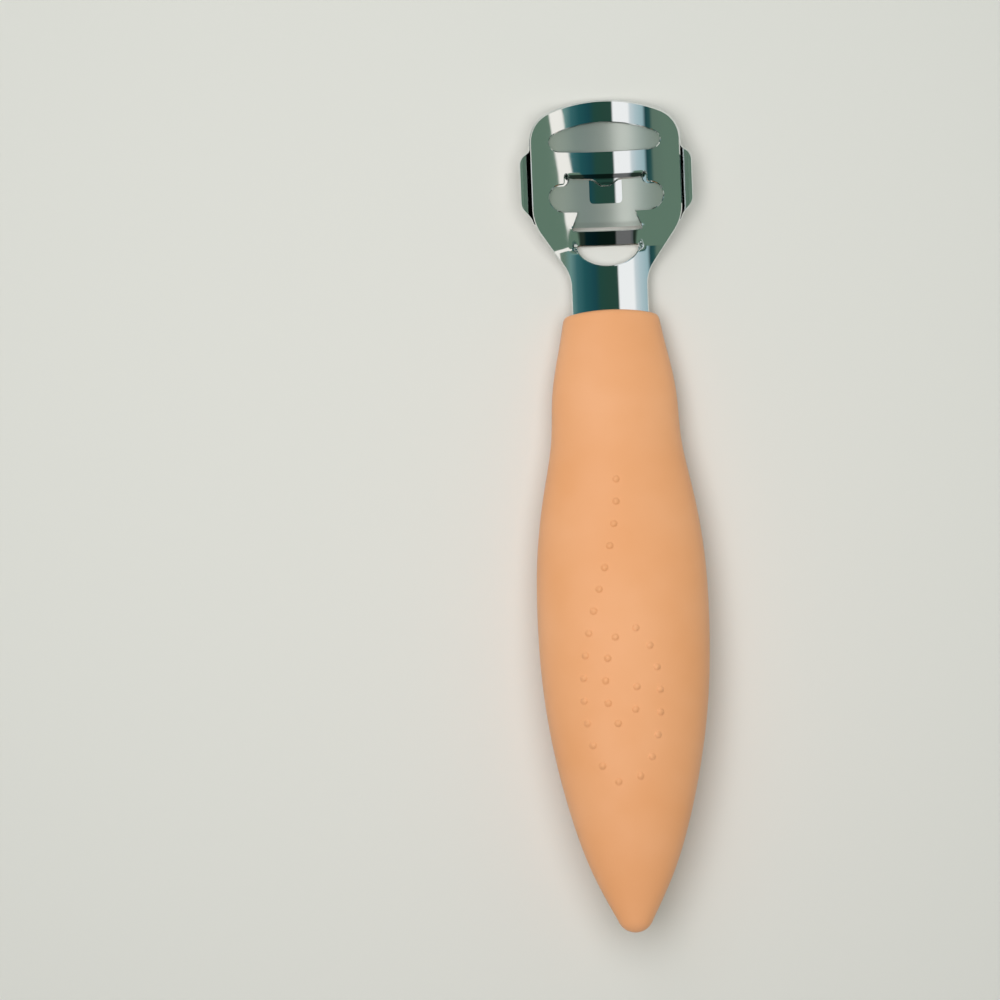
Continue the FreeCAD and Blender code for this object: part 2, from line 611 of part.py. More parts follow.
# Grip: soft-touch plastic moulded round the tang, lens-shaped in section.
def put_on_grip_axis(item):
    """Put the grip on its rising axis, with its front where the neck enters it."""
    item.Placement = Placement(Vector(0, 0, 0), Rotation(Vector(1, 0, 0), -value(REST_ANGLE)))
    item.setExpression("Placement.Rotation.Angle", f"-{REST_ANGLE}")
    item.setExpression(
        "Placement.Base.y",
        f"{TOP_EDGE} - Sizes.bend_place - {GRIP_START} * cos({REST_ANGLE})"
        f" + Sizes.tang_level * sin({REST_ANGLE})",
    )
    item.setExpression(
        "Placement.Base.z",
        f"{FRAME_LEVEL} + {GRIP_START} * sin({REST_ANGLE}) + Sizes.tang_level * cos({REST_ANGLE})",
    )


def oval(name, along, width, thickness):
    """One oval section of the grip, square to its axis."""
    ring = doc.addObject("Part::Ellipse", name)
    ring.Placement = Placement(Vector(0, 0, 0), Rotation(Vector(1, 0, 0), 90))
    ring.setExpression("MajorRadius", f"{width} / 2")
    ring.setExpression("MinorRadius", f"{thickness} / 2")
    ring.setExpression("Placement.Base.y", f"-({along})")
    return ring


def make_core():
    """The smooth body of the grip: ovals from its front to its tail, and a rounded tip."""
    rings = [
        oval(f"{name}_oval", f"Sizes.{name}_place", f"Sizes.{name}_width", f"Sizes.{name}_thickness")
        for name in GRIP_STATIONS
    ]
    tip_middle = "(Sizes.grip_length - Sizes.tip_radius)"
    rings.append(oval(
        "tip_oval",
        f"{tip_middle} + Sizes.tip_radius * sin(Sizes.tip_taper)",
        "Sizes.tip_radius * 2 * cos(Sizes.tip_taper)",
        "Sizes.tip_thickness * cos(Sizes.tip_taper)",
    ))
    loft = doc.addObject("Part::Loft", "grip_loft")
    loft.Sections = rings
    loft.Solid = True
    doc.recompute()

    front_edge = min(
        range(len(loft.Shape.Edges)), key=lambda index: -loft.Shape.Edges[index].CenterOfMass.y
    )
    rounding = value("Sizes.front_rounding")
    rounded = doc.addObject("Part::Fillet", "rounded_front")
    rounded.Base = loft
    rounded.Edges = [(front_edge + 1, rounding, rounding)]

    tip = doc.addObject("Part::Ellipsoid", "tail_tip")
    tip.setExpression("Radius2", "Sizes.tip_radius")
    tip.setExpression("Radius3", "Sizes.tip_radius")
    tip.setExpression("Radius1", "Sizes.tip_thickness / 2")
    tip.setExpression("Placement.Base.y", f"-{tip_middle}")
    core = doc.addObject("Part::Fuse", "grip_core")
    core.Base = rounded
    core.Tool = tip
    doc.recompute()
    return core


LEAD_TURN = -180  # where the row that leads into the swirl begins, in degrees
STEPS_A_DEGREE = 4  # how finely the path is followed
STEP_IN_POWER = 7  # how suddenly the swirl steps in


def swirl_point(turn):
    """Dot path from above, as (across, behind the front). The row swings in from the right
    while turn is negative, then winds inwards, a full turn for every 360 degrees."""
    aside = value("Sizes.swirl_aside")
    half_width = value("Sizes.swirl_width") / 2
    half_length = value("Sizes.swirl_length") / 2
    middle = value("Sizes.swirl_middle")
    if turn < 0:
        share = turn / LEAD_TURN
        swing = value("Sizes.lead_swing") * (1 - math.cos(math.pi * share)) / 2
        return -aside - half_width + swing, middle - share * value("Sizes.lead_length")
    core = value("Sizes.swirl_core")
    shrink = core + (1 - core) / (1 + (turn / value("Sizes.swirl_step_in")) ** STEP_IN_POWER)
    angle = math.radians(turn)
    return (
        -aside - half_width * shrink * math.cos(angle),
        middle + half_length * shrink * math.sin(angle),
    )


def swirl_places():
    """Places of the dots, an even pitch apart along the path."""
    pitch = value("Sizes.dot_pitch")
    places = [swirl_point(LEAD_TURN)]
    for step in range(LEAD_TURN * STEPS_A_DEGREE, int(value("Sizes.swirl_turn")) * STEPS_A_DEGREE):
        across, behind = swirl_point(step / STEPS_A_DEGREE)
        if math.hypot(across - places[-1][0], behind - places[-1][1]) >= pitch:
            places.append((across, behind))
    return places


def make_stud():
    """One grip dot: a round stud with a domed end, standing on height nought."""
    radius = value("Sizes.dot_diameter") / 2
    height = value("Sizes.dot_height")
    rim = value("Sizes.dot_rim")
    root = value("Sizes.dot_root")
    dome = (radius ** 2 + (height - rim) ** 2) / (2 * (height - rim))
    half = math.asin(radius / dome) / 2
    middle = Vector(dome * math.sin(half), 0, height - dome + dome * math.cos(half))
    side = [Vector(0, 0, -root), Vector(radius, 0, -root), Vector(radius, 0, rim)]
    edges = [
        Part.makeLine(side[0], side[1]),
        Part.makeLine(side[1], side[2]),
        Part.Arc(side[2], middle, Vector(0, 0, height)).toShape(),
        Part.makeLine(Vector(0, 0, height), side[0]),
    ]
    return Part.Face(Part.Wire(edges)).revolve(Vector(0, 0, 0), Vector(0, 0, 1), 360)


def make_dots(core):
    """The grip dots where the dot path meets the top of the grip."""
    skin = max(core.Shape.Faces, key=lambda face: face.Area)
    stud = make_stud()
    studs = []
    reach = value("Sizes.belly_thickness")
    for across, behind in swirl_places():
        ray = Part.makeLine(Vector(across, -behind, 0), Vector(across, -behind, reach))
        surface = ray.distToShape(skin)[1][0][0].z
        studs.append(stud.translated(Vector(across, -behind, surface)))
    dots = doc.addObject("Part::Feature", "grip_dots")
    dots.Shape = Part.makeCompound(studs)
    return dots


def make_socket():
    """The space of the neck and tang inside the grip, a little larger all round."""
    body = doc.addObject("PartDesign::Body", "tang_socket")
    step = "(Sizes.tang_shoulder + (Sizes.neck_width - Sizes.tang_width) / 2)"
    wide = new_sketch(body, "neck_room_section", "XZ_Plane", f"-{SPARE}")
    draw_loop(wide, socket_section("Sizes.neck_width / 2"))
    pad(body, "neck_room", wide, f"({step} + Sizes.socket_end_play + {SPARE})")
    narrow = new_sketch(body, "tang_room_section", "XZ_Plane")
    draw_loop(narrow, socket_section("Sizes.tang_width / 2"))
    pad(body, "tang_room", narrow, "(Sizes.tang_length + Sizes.socket_end_play)")
    body.setExpression("Placement.Base.z", "-(Sizes.tang_level)")
    return body


def socket_section(half):
    """Section of the room for the sheet, with upright sides and its underside at nought."""
    across = f"({half} + Sizes.socket_play)"
    outer = f"({FRAME_OUT} + Sizes.socket_play)"
    inner = f"({FRAME_IN} - Sizes.socket_play)"
    under = f"({arched(across, outer)} - {FRAME_LEVEL})"
    over = f"({arched(across, inner)} - {FRAME_LEVEL})"
    return [
        (across, under, f"-{outer}"),
        (f"(-{across})", under),
        (f"(-{across})", over, inner),
        (across, over),
    ]


def make_grip():
    """Core with the room for the tang in it and the dots on it."""
    core = make_core()
    socket = make_socket()
    hollow = doc.addObject("Part::Cut", "hollow_grip")
    hollow.Base = core
    hollow.Tool = socket
    dots = make_dots(core)
    dotted = doc.addObject("Part::Fuse", "dotted_grip")
    dotted.Base = hollow
    dotted.Tool = dots
    dotted.Refine = False
    dotted.Label = "grip"
    put_on_grip_axis(dotted)
    return dotted


pieces = {
    "head_frame": make_frame(),
    "blade": make_blade(),
    "guard_plate": make_guard(),
    "grip": make_grip(),
}
doc.recompute()

for item in doc.Objects:
    if "Invalid" in item.State or "Error" in item.State:
        raise RuntimeError(f"{item.Name} failed: {item.getStatusString()}")
for name, piece in pieces.items():
    if piece.Shape.isNull() or not piece.Shape.isValid():
        raise RuntimeError(f"{name} has no valid shape")
    piece.Shape.exportStep(f"parts/{name}.step")
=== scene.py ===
import math

import bpy
import numpy as np
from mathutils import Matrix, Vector
from mathutils.geometry import delaunay_2d_cdt


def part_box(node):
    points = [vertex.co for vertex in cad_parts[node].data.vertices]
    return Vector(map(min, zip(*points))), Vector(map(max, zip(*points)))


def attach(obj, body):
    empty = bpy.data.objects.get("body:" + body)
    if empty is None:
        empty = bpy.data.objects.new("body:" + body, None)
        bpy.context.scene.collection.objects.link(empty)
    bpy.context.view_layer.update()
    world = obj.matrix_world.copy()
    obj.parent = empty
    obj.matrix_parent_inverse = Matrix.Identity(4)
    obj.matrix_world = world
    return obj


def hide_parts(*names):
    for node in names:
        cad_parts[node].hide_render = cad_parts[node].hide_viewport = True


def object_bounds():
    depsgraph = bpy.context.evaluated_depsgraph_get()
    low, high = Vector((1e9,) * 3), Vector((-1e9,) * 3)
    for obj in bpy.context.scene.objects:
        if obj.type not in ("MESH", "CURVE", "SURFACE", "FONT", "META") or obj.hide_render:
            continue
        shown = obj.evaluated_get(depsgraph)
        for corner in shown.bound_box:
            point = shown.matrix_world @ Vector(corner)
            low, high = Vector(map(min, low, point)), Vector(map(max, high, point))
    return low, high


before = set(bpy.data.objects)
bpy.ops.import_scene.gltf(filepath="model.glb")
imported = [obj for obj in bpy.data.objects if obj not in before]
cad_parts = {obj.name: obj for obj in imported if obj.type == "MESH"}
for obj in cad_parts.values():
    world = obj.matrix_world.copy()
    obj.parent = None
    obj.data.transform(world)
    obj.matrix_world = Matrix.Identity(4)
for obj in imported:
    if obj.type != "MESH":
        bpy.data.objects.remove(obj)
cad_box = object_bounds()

# Table, light and camera.
# The tool lies on a plain pale table under a light tent: a half-round hood whose panels run along the tool,
# two of them bright, so that the polished metal shows long bands, and a broad soft lamp for the rest.
TENT_RADIUS = 0.60
TENT_LENGTH = 1.9
TENT_EDGE = 86
TABLE_SIZE = 6.0
SIDE_CLOTH = "#66806F"
# Panels of the hood: angle from straight up towards +X, and the colour there. It blends from one to the next.
TENT_PANELS = [
    (-90, "#D8DAD4"), (-84, "#D8DAD4"), (-80, SIDE_CLOTH), (-58, "#62796B"), (-54, "#2E5553"), (-49, "#20474A"),
    (-45, "#9DBAC0"), (-36, "#B8CCD2"), (-30, "#D2DCE0"), (-27, "#FFFFFF"), (-10, "#FFFFFF"), (-8, "#2C4A40"),
    (2, "#2A4A3F"), (12, "#264B42"), (18, "#1D4A50"), (30, "#24575B"), (40, "#3C6C6F"), (48, "#6E9490"),
    (56, "#6C8474"), (80, SIDE_CLOTH), (84, "#D8DAD4"), (90, "#D8DAD4"),
]
# A slanting panel is seen by the head alone. Its middle, in degrees, runs out along the tent, in metres
SLANT_NEAR, SLANT_FAR = (0.026, 7.5), (0.226, 97.5)
SLANT_HALF_WIDTH = (8.0, 10.5)
SLANT_STARTS = (0.094, 0.102)
SLANT_ENDS = (0.175, 0.18)
# Beside the head the walls are plain side cloth from 30 degrees down, and the far end of the tent is dim
WALL_ANGLE = (30.0, 33.0)
WALL_ENDS = (0.110, 0.118)
DIM_END = (-0.30, -0.16)
DIM_SHARE = 0.15


def linear(hexcode):
    """A colour written as sRGB hex, in the linear values that shaders take."""
    channels = [int(hexcode[place:place + 2], 16) / 255 for place in (1, 3, 5)]
    return tuple(c / 12.92 if c <= 0.04045 else ((c + 0.055) / 1.055) ** 2.4 for c in channels) + (1.0,)


def node(tree, kind, links=(), **settings):
    """Add a node. Settings name its properties or inputs; links are (input, from node, output)."""
    made = tree.nodes.new(kind)
    for name, setting in settings.items():
        spoken = name.replace("_", " ")
        if spoken in made.inputs:
            made.inputs[spoken].default_value = setting
        else:
            setattr(made, name, setting)
    for socket, source, output in links:
        tree.links.new(source.outputs[output], made.inputs[socket])
    return made


def finish_named(name):
    """A new material with an empty node tree, and its tree."""
    made = bpy.data.materials.new(name)
    made.use_nodes = True
    made.node_tree.nodes.clear()
    return made, made.node_tree


def surface(name, rows):
    """A mesh over a grid of points, rows by columns, with a quad between every four neighbours."""
    count, width = rows.shape[:2]
    row, column = np.meshgrid(np.arange(count - 1), np.arange(width - 1), indexing="ij")
    corners = (row * width + column, row * width + column + 1,
               (row + 1) * width + column + 1, (row + 1) * width + column)
    faces = np.stack([corner.ravel() for corner in corners], axis=1)
    mesh = bpy.data.meshes.new(name)
    mesh.from_pydata(rows.reshape(-1, 3).tolist(), [], faces.tolist())
    return mesh


def put(name, mesh, material):
    """Show a mesh as an object at the origin, smooth, with one material."""
    mesh.materials.append(material)
    mesh.polygons.foreach_set("use_smooth", np.ones(len(mesh.polygons), dtype=bool))
    made = bpy.data.objects.new(name, mesh)
    bpy.context.scene.collection.objects.link(made)
    return made


# Cloth and card of the tent, lit from behind: every panel glows evenly in its own colour
hood_paint, tree = finish_named("hood_panels")
place = node(tree, "ShaderNodeTexCoord")
axes = node(tree, "ShaderNodeSeparateXYZ", [("Vector", place, "Object")])
lean = node(tree, "ShaderNodeMath", [(0, axes, "X"), (1, axes, "Z")], operation="ARCTAN2")
share = node(tree, "ShaderNodeMapRange", [("Value", lean, "Value")],
             From_Min=-math.pi / 2, From_Max=math.pi / 2)
ramp = node(tree, "ShaderNodeValToRGB", [("Fac", share, "Result")])
while len(ramp.color_ramp.elements) < len(TENT_PANELS):
    ramp.color_ramp.elements.new(0.5)
for element, (angle, colour) in zip(ramp.color_ramp.elements, TENT_PANELS):
    element.position = (angle + 90) / 180
    element.color = linear(colour)
degrees = node(tree, "ShaderNodeMath", [(0, lean, "Value")], operation="DEGREES")
middle = node(tree, "ShaderNodeMapRange", [("Value", axes, "Y")], From_Min=SLANT_NEAR[0],
              From_Max=SLANT_FAR[0], To_Min=SLANT_NEAR[1], To_Max=SLANT_FAR[1])
apart = node(tree, "ShaderNodeMath", [(0, degrees, "Value"), (1, middle, "Result")], operation="SUBTRACT")
off_middle = node(tree, "ShaderNodeMath", [(0, apart, "Value")], operation="ABSOLUTE")
across = node(tree, "ShaderNodeMapRange", [("Value", off_middle, "Value")], From_Min=SLANT_HALF_WIDTH[0],
              From_Max=SLANT_HALF_WIDTH[1], To_Min=1.0, To_Max=0.0)
begins = node(tree, "ShaderNodeMapRange", [("Value", axes, "Y")],
              From_Min=SLANT_STARTS[0], From_Max=SLANT_STARTS[1])
ends = node(tree, "ShaderNodeMapRange", [("Value", axes, "Y")],
            From_Min=SLANT_ENDS[0], From_Max=SLANT_ENDS[1], To_Min=1.0, To_Max=0.0)
along = node(tree, "ShaderNodeMath", [(0, begins, "Result"), (1, ends, "Result")], operation="MULTIPLY")
lit = node(tree, "ShaderNodeMath", [(0, across, "Result"), (1, along, "Value")], operation="MULTIPLY")
dim = node(tree, "ShaderNodeMapRange", [("Value", axes, "Y")],
           From_Min=DIM_END[0], From_Max=DIM_END[1], To_Min=DIM_SHARE)
from_top = node(tree, "ShaderNodeMath", [(0, degrees, "Value")], operation="ABSOLUTE")
wall_side = node(tree, "ShaderNodeMapRange", [("Value", from_top, "Value")],
                 From_Min=WALL_ANGLE[0], From_Max=WALL_ANGLE[1])
wall_end = node(tree, "ShaderNodeMapRange", [("Value", axes, "Y")],
                From_Min=WALL_ENDS[0], From_Max=WALL_ENDS[1], To_Min=1.0, To_Max=0.0)
wall = node(tree, "ShaderNodeMath", [(0, wall_side, "Result"), (1, wall_end, "Result")], operation="MULTIPLY")
cloth = node(tree, "ShaderNodeEmission", [("Color", ramp, "Color"), ("Strength", dim, "Result")])
side_cloth = node(tree, "ShaderNodeEmission", [("Strength", dim, "Result")], Color=linear(SIDE_CLOTH))
rest = node(tree, "ShaderNodeMixShader", [("Fac", wall, "Value"), (1, cloth, "Emission"),
                                          (2, side_cloth, "Emission")])
panel = node(tree, "ShaderNodeEmission", Color=linear("#FFFBF4"))
both = node(tree, "ShaderNodeMixShader", [("Fac", lit, "Value"), (1, rest, "Shader"),
                                          (2, panel, "Emission")])
node(tree, "ShaderNodeOutputMaterial", [("Surface", both, "Shader")])

# The hood: (R sin a, y, R cos a), with a up to 86 degrees from straight up either way, open at both ends
angles = np.radians(np.linspace(-TENT_EDGE, TENT_EDGE, TENT_EDGE + 1))
runs = np.array([-TENT_LENGTH / 2, TENT_LENGTH / 2])
hood_rows = np.stack(np.broadcast_arrays(
    TENT_RADIUS * np.sin(angles)[:, None], runs[None, :], TENT_RADIUS * np.cos(angles)[:, None]), axis=2)
hood = put("light_tent", surface("light_tent", hood_rows), hood_paint)
hood.visible_camera = False

# Matt painted board
table_paint, tree = finish_named("matt_pale_table")
board = node(tree, "ShaderNodeBsdfPrincipled", Base_Color=linear("#E6E2DC"), Roughness=0.85)
node(tree, "ShaderNodeOutputMaterial", [("Surface", board, "BSDF")])
half = TABLE_SIZE / 2
table_rows = np.array([[[-half, -half, 0], [half, -half, 0]], [[-half, half, 0], [half, half, 0]]], dtype=float)
table = put("table", surface("table", table_rows), table_paint)

world = bpy.data.worlds.new("pale_room")
bpy.context.scene.world = world
world.use_nodes = True
world.node_tree.nodes["Background"].inputs["Color"].default_value = linear("#E6E4E0")
world.node_tree.nodes["Background"].inputs["Strength"].default_value = 0.8

lamp = bpy.data.lights.new("broad_soft_lamp", "AREA")
lamp.shape = "DISK"
lamp.size = 0.5
lamp.energy = 2.2
lamp_body = bpy.data.objects.new("broad_soft_lamp", lamp)
lamp_body.location = (-0.03, 0.03, 0.52)
lamp_body.rotation_euler = (Vector((0, 0, 0)) - lamp_body.location).to_track_quat("-Z", "Y").to_euler()
lamp_body.visible_camera = False
lamp_body.visible_glossy = False
bpy.context.scene.collection.objects.link(lamp_body)

# The camera looks straight down. Shares are of the picture's width: the tool's length, and how far its middle
# lies to the right of the picture's middle and below it
CAMERA_HEIGHT = 0.80
TOOL_MIDDLE_HEIGHT = 0.012
TOOL_SHARE = 837 / 1000
TOOL_RIGHT = 119.5 / 1000
TOOL_BELOW = 12.0 / 1000
TOOL_TURN = math.radians(-2.2)
low, high = (Vector(corner) for corner in cad_box)
picture_width = (high.y - low.y) / TOOL_SHARE
camera_data = bpy.data.cameras.new("photo_camera")
camera_data.lens = camera_data.sensor_width * (CAMERA_HEIGHT - TOOL_MIDDLE_HEIGHT) / picture_width
camera = bpy.data.objects.new("photo_camera", camera_data)
right = Vector((math.cos(TOOL_TURN), math.sin(TOOL_TURN), 0))
upward = Vector((-math.sin(TOOL_TURN), math.cos(TOOL_TURN), 0))
camera.location = (picture_width * (TOOL_BELOW * upward - TOOL_RIGHT * right)
                   + Vector((0, 0, CAMERA_HEIGHT)))
camera.rotation_euler = (0, 0, TOOL_TURN)
bpy.context.scene.collection.objects.link(camera)
bpy.context.scene.camera = camera
bpy.context.scene.view_settings.view_transform = "Standard"


# Head frame.
# One blank of mild steel sheet, pressed over a round die with all its windows, then polished and plated with
# nickel and chromium. The arch runs through head and neck; the plating gives it a mirror's face.
# Lengths are in millimetres. x is the distance from the middle, v the distance below the top edge.
MM = 0.001
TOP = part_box("head_frame")[1][1] / MM
ARCH_AXIS = 22.0
FLANK_START = 12.5
FRAME_UNDER = 20.7
FRAME_OVER = 19.8
TUMBLED_EDGE = 0.2
# Outline
HEAD_HALF = 15.4
TOP_ARC = 26
CORNER_ARC = 7
SHOULDER = 22.6
SHOULDER_ARC = 9
FLANK_SLANT = math.radians(35)
WAIST_ARC = 8
NECK_HALF = 7.95
NECK_END = 47.4
TANG_HALF = 5.5
TANG_STEP = 49.85
TANG_END = 76.9
TANG_HOLE = 63.4
TANG_HOLE_RADIUS = 2.5
# Bend between head and neck
BEND_PLACE = 30.9
BEND_RADIUS = 14
RISE = math.radians(4.774)
BEND_START = BEND_PLACE - BEND_RADIUS * math.tan(RISE / 2)
BEND_END = BEND_PLACE + BEND_RADIUS * math.tan(RISE / 2) * math.cos(RISE)
# Upper window, main window and throat window
UPPER_HALF = 11.5
UPPER_PEAK = 4.55
UPPER_BASE = 10.45
UPPER_ARC = 24
UPPER_END = 1.87
LOBE_HALF = 11.75
LOBE_TOP = 17.3
LOBE_BASE = 22.9
LOBE_ARC = 2.8
TAIL_TOP_HALF = 5.7
TAIL_BASE_HALF = 7.3
MOUTH = 26.9
THROAT_HALF = 6.45
THROAT_TOP = 30.1
THROAT_HEIGHT = 4.2
# Pressed forms: depths, and the stretches over which they ease in and out
BAR_DROP = 0.8
BAR_TILT = 0.36
BAR_MIDDLE = 29
BAR_SIDES = (5.6, 7.9)
BAR_BEGINS = (25.9, 26.9)
BAR_ENDS = (30.1, 31.8)
LIP_TURN = 0.5
LIP_SIDES = (7.5, 7.9)
LIP_BEGINS = (14.9, 16.5)
NOSE_DIP = 0.3
NOSE_SIDES = (2.7, 3.2)
NOSE_BEGINS_UNDER = (16.1, 16.7)
NOSE_BEGINS_OVER = (16.3, 17.8)
NOSE_ENDS_UNDER = (18.5, 19.5)
FORMS_END = (19, 20)
# Spacing of the points: over the sheet, along its outlines, along an arc before that, and free of a rim
SHEET_STEP = 0.45
OUTLINE_STEP = 0.15
ARC_STEP = 0.12
RIM_CLEARANCE = 0.25
EASING_PASSES = 10


def arc_points(start, end, radius):
    """Points from start to end, without the end, on an arc of this radius. Its centre lies
    sqrt(r^2 - (chord/2)^2) to the left of the chord's middle; a negative radius turns it over."""
    start, end = np.array(start, dtype=float), np.array(end, dtype=float)
    chord = end - start
    length = np.hypot(*chord)
    left = np.array([-chord[1], chord[0]]) / length * math.copysign(1, radius)
    centre = start + chord / 2 + left * math.sqrt(max(radius ** 2 - length ** 2 / 4, 0))
    first = math.atan2(*(start - centre)[::-1])
    last = math.atan2(*(end - centre)[::-1])
    swing = (last - first + math.pi) % (2 * math.pi) - math.pi
    share = np.arange(0, 1, 1 / max(4, int(abs(swing * radius) / ARC_STEP)))
    turn = first + swing * share
    return centre + abs(radius) * np.stack([np.cos(turn), np.sin(turn)], axis=1)


def loop(corners):
    """A closed outline through corners (x, v) or (x, v, radius of the arc that starts there), resampled evenly.
    Its corners are eased by the mean of each point and its two neighbours, taken ten times over."""
    runs = []
    for corner, following in zip(corners, corners[1:] + corners[:1]):
        start, end = (corner[0], -corner[1]), (following[0], -following[1])
        if len(corner) == 3:
            runs.append(arc_points(start, end, corner[2]))
        else:
            runs.append(np.array([start]))
    points = np.concatenate(runs)
    closed = np.vstack([points, points[:1]])
    far = np.concatenate([[0], np.cumsum(np.hypot(*np.diff(closed, axis=0).T))])
    even = np.linspace(0, far[-1], int(far[-1] / OUTLINE_STEP), endpoint=False)
    points = np.stack([np.interp(even, far, closed[:, axis]) for axis in (0, 1)], axis=1)
    for _ in range(EASING_PASSES):
        points = (np.roll(points, 1, 0) + points + np.roll(points, -1, 0)) / 3
    points[:, 1] *= -1
    return points


def both_sides(right, crown=None):
    """A loop from its right half, listed from the top down, and the radius of the arc across the top."""
    left = []
    for index in range(len(right) - 1, -1, -1):
        before = right[index - 1][2:] if index else (() if crown is None else (crown,))
        left.append((-right[index][0], right[index][1], *before))
    return loop(list(right) + left)


def turned_area(points):
    """Area inside a loop, half the sum of x0 v1 - x1 v0, with a sign for the way round."""
    x, v = points.T
    return 0.5 * np.sum(x * np.roll(v, -1) - np.roll(x, -1) * v)


def outward(points):
    """Unit normals in the plane, to the right of the way round: (dv, -dx) / length."""
    along = np.roll(points, -1, 0) - np.roll(points, 1, 0)
    along /= np.hypot(*along.T)[:, None]
    return np.stack([along[:, 1], -along[:, 0]], axis=1)


def inside(points, polygon):
    """Whether points lie in a polygon: an odd number of its edges is crossed on the way to the right."""
    ahead = np.roll(polygon, -1, 0)
    x, y = points[:, :1], points[:, 1:]
    spans = (polygon[None, :, 1] > y) != (ahead[None, :, 1] > y)
    rise = np.where(ahead[:, 1] == polygon[:, 1], 1, ahead[:, 1] - polygon[:, 1])
    crossing = polygon[:, 0] + (y - polygon[:, 1]) * (ahead[:, 0] - polygon[:, 0]) / rise
    return (spans & (x < crossing)).sum(axis=1) % 2 == 1


def triangles_between(points, sizes):
    """Triangles over points in a plane, of which the first are closed loops of these sizes in turn."""
    starts = np.cumsum([0] + sizes)
    edges = [(int(start) + place, int(start) + (place + 1) % size)
             for start, size in zip(starts, sizes) for place in range(size)]
    found = delaunay_2d_cdt([Vector(point) for point in points.tolist()], edges, [], 2, 1e-7)
    if len(found[0]) != len(points):
        raise ValueError(f"{len(points)} points became {len(found[0])}")
    return np.array(found[2])


def slope_normals(height, points, step=0.02):
    """Unit normals of a height field over (x, v): (-dz/dx, dz/dv, 1), because y runs against v."""
    x, v = points.T
    across = (height(x + step, v) - height(x - step, v)) / (2 * step)
    down = (height(x, v + step) - height(x, v - step)) / (2 * step)
    normals = np.stack([-across, down, np.ones_like(across)], axis=1)
    return normals / np.linalg.norm(normals, axis=1)[:, None]


def pressed_sheet(name, outline, windows, under, over, edge):
    """A sheet between two height fields, cut to an outline with windows. Its edges are bevelled by the tumbling
    after the press: inset e, drop 1.15 e or three tenths of the sheet, whichever is less."""
    sides = [outline if turned_area(outline) > 0 else outline[::-1]]
    sides += [points if turned_area(points) < 0 else points[::-1] for points in windows]
    normals = [outward(points) for points in sides]
    rims = [points - normal * edge for points, normal in zip(sides, normals)]
    low, high = outline.min(axis=0), outline.max(axis=0)
    grid = np.stack(np.meshgrid(*(np.arange(low[axis], high[axis], SHEET_STEP) for axis in (0, 1))), axis=2)
    grid = grid.reshape(-1, 2)
    clear = edge + RIM_CLEARANCE
    keep = inside(grid, sides[0] - normals[0] * clear)
    for points, normal in zip(sides[1:], normals[1:]):
        keep &= ~inside(grid, points - normal * clear)
    flat = np.concatenate(rims + [grid[keep]])
    sizes = [len(points) for points in rims]
    triangles = triangles_between(flat, sizes)
    for points in rims[1:]:
        triangles = triangles[~inside(flat[triangles].mean(axis=1), points)]
    count = len(flat)

    def shown(points, heights):
        return np.stack([points[:, 0], TOP - points[:, 1], heights], axis=1)

    vertices = [shown(flat, over(*flat.T)), shown(flat, under(*flat.T))]
    directions = [slope_normals(over, flat), -slope_normals(under, flat)]
    faces = [triangles[:, ::-1], triangles + count]
    base = 2 * count
    # Places on the edge: share of the inset left, share of the drop, tilt of the face there from upright
    bevel = [(0.92, 0.05, 50), (0.06, 0.92, 50), (0.0, 1.05, 90)]
    for start, size, points, normal in zip(np.cumsum([0] + sizes), sizes, sides, normals):
        ring = np.arange(size)
        rows = [start + ring]
        flat_way = np.stack([normal[:, 0], -normal[:, 1], np.zeros(size)], axis=1)
        deep = np.minimum(1.15 * edge, 0.3 * (over(*points.T) - under(*points.T)))
        for height, sign, steps in ((over, 1, bevel), (under, -1, bevel[::-1])):
            for inset, drop, tilt in steps:
                place = points - normal * edge * inset
                vertices.append(shown(place, height(*place.T) - sign * deep * drop))
                upward = np.array([0, 0, sign * math.cos(math.radians(tilt))])
                directions.append(flat_way * math.sin(math.radians(tilt)) + upward)
                rows.append(base + ring)
                base += size
        rows.append(count + start + ring)
        for upper, lower in zip(rows, rows[1:]):
            faces.append(np.stack([upper, np.roll(upper, -1), np.roll(lower, -1)], axis=1))
            faces.append(np.stack([upper, np.roll(lower, -1), lower], axis=1))
    mesh = bpy.data.meshes.new(name)
    mesh.from_pydata((np.concatenate(vertices) * MM).tolist(), [], np.concatenate(faces).tolist())
    smooth = np.concatenate(directions)
    smooth /= np.linalg.norm(smooth, axis=1)[:, None]
    mesh.polygons.foreach_set("use_smooth", np.ones(len(mesh.polygons), dtype=bool))
    mesh.normals_split_custom_set_from_vertices(smooth.tolist())
    return mesh


def arch(radius, x):
    """Height of an arched face over the floor: a - sqrt(r^2 - x^2), running out straight beyond 12.5 mm."""
    bent = np.minimum(np.abs(x), FLANK_START)
    fall = np.sqrt(radius ** 2 - bent ** 2)
    return ARCH_AXIS - fall + (np.abs(x) - bent) * bent / fall


def ease(value, low, high):
    """Smooth step from 0 at low to 1 at high: t^2 * (3 - 2 t)."""
    t = np.clip((value - low) / (high - low), 0, 1)
    return t * t * (3 - 2 * t)


def neck_rise(v):
    """Height gained behind the bend: r - sqrt(r^2 - d^2) round it, then the tangent of the rise."""
    d = np.clip(v - BEND_START, 0, BEND_END - BEND_START)
    return BEND_RADIUS - np.sqrt(BEND_RADIUS ** 2 - d ** 2) + np.maximum(v - BEND_END, 0) * math.tan(RISE)


def bar_drop(x, v):
    """How far the bar is pressed down: 0.8 mm in its middle, 0.36 per mm more towards the grip, easing out."""
    pressed = (1 - ease(np.abs(x), *BAR_SIDES)) * ease(v, *BAR_BEGINS) * (1 - ease(v, *BAR_ENDS))
    return (BAR_DROP + BAR_TILT * (v - BAR_MIDDLE)) * pressed


